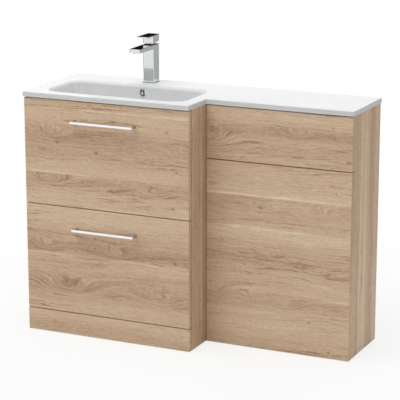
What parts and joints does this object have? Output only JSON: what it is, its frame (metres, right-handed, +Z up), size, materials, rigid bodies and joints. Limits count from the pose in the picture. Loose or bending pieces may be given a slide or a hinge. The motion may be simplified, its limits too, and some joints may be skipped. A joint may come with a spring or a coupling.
{
  "type": "vanity unit",
  "caption": "Bathroom vanity with drawers and a moulded basin top with mixer tap, joined to a shallower back-to-wall toilet furniture unit under the same L-shaped top.",
  "frame": {"origin": "on the floor, under the middle of the overall box", "axes": "+X along the wall to the right as seen from the front, +Y to the wall, +Z up"},
  "size_m": [1.106, 0.417, 0.9775],
  "materials": {
    "oak_laminate": "light oak laminate, satin",
    "white_melamine": "white melamine, matt",
    "grey_melamine": "grey melamine, matt",
    "chrome": "polished chrome",
    "zinc_steel": "zinc plated",
    "brass": "machined",
    "rubber": "matt",
    "white_plastic": "moulded",
    "grey_plastic": "moulded",
    "cast_marble": "gloss gelcoat, white"
  },
  "bodies": {
    "carcass": {"vanity_left_side": "oak_laminate", "vanity_right_side": "oak_laminate", "vanity_plinth": "oak_laminate", "wc_right_side": "oak_laminate", "wc_lower_panel": "oak_laminate", "vanity_bottom": "white_melamine", "vanity_front_rail": "white_melamine", "vanity_rear_rail": "white_melamine", "vanity_back_panel": "white_melamine", "wc_left_side": "white_melamine", "wc_front_top_rail": "white_melamine", "wc_middle_rail": "white_melamine", "wc_foot_rail": "white_melamine", "wc_rear_rail": "white_melamine", "tap_body": "chrome", "tap_aerator": "chrome", "overflow_ring": "chrome", "waste_body": "chrome", "cabinet_runners": "zinc_steel", "unit_connectors": "zinc_steel", "tap_stud": "zinc_steel", "tap_clamp_plates": "zinc_steel", "tap_stud_nut": "brass", "waste_backnut": "brass", "tap_cartridge_nut": "brass", "tap_gasket": "rubber", "waste_seals": "rubber", "drawer_bumpers": "rubber", "trap_inlet_nut": "white_plastic", "trap_body": "white_plastic", "trap_cup": "white_plastic", "trap_outlet_nut": "white_plastic", "tap_cartridge": "grey_plastic", "access_panel_clip_sockets": "grey_plastic", "floor_glides": "grey_plastic", "basin_top": "cast_marble"},
    "upper_drawer": {"upper_drawer_front": "oak_laminate", "upper_drawer_handle": "chrome", "upper_handle_screws": "zinc_steel", "upper_drawer_sides": "grey_melamine", "upper_drawer_bottom": "grey_melamine", "upper_drawer_trap_surround": "grey_melamine", "upper_drawer_back": "grey_melamine", "upper_drawer_runners": "zinc_steel"},
    "upper_runners": {"upper_middle_runners": "zinc_steel"},
    "lower_drawer": {"lower_drawer_front": "oak_laminate", "lower_drawer_handle": "chrome", "lower_handle_screws": "zinc_steel", "lower_drawer_sides": "grey_melamine", "lower_drawer_bottom": "grey_melamine", "lower_drawer_back": "grey_melamine", "lower_drawer_runners": "zinc_steel"},
    "lower_runners": {"lower_middle_runners": "zinc_steel"},
    "access_panel": {"wc_access_panel": "oak_laminate", "access_panel_clip_studs": "grey_plastic"},
    "tap_rotor": {"tap_rotor": "grey_plastic"},
    "tap_lever": {"tap_lever": "chrome", "tap_spindle": "zinc_steel", "tap_lever_screw": "zinc_steel"},
    "waste_plug": {"waste_plug": "chrome"}
  },
  "joints": [
    {"name": "upper_drawer_slide", "type": "slide", "parent": "carcass", "child": "upper_drawer", "axis": [0, -1, 0], "range_m": [0, 0.24]},
    {"name": "upper_runner_slide", "type": "slide", "parent": "carcass", "child": "upper_runners", "axis": [0, -1, 0], "range_m": [0, 0.12]},
    {"name": "lower_drawer_slide", "type": "slide", "parent": "carcass", "child": "lower_drawer", "axis": [0, -1, 0], "range_m": [0, 0.24]},
    {"name": "lower_runner_slide", "type": "slide", "parent": "carcass", "child": "lower_runners", "axis": [0, -1, 0], "range_m": [0, 0.12]},
    {"name": "access_panel_pull", "type": "slide", "parent": "carcass", "child": "access_panel", "axis": [0, -1, 0], "range_m": [0, 0.25]},
    {"name": "tap_swivel", "type": "hinge", "parent": "carcass", "child": "tap_rotor", "pos_m": [-0.25, 0.1595, 0.9353], "axis": [0, 0, 1], "range_deg": [-45, 45]},
    {"name": "tap_lift", "type": "hinge", "parent": "tap_rotor", "child": "tap_lever", "pos_m": [-0.25, 0.1595, 0.9353], "axis": [-1, 0, 0], "range_deg": [0, 20]},
    {"name": "plug_lift", "type": "slide", "parent": "carcass", "child": "waste_plug", "axis": [0, 0, 1], "range_m": [0, 0.01]}
  ],
  "couplings": [
    {"joint": "upper_runner_slide", "follows": "upper_drawer_slide", "ratio": 0.5},
    {"joint": "lower_runner_slide", "follows": "lower_drawer_slide", "ratio": 0.5}
  ]
}
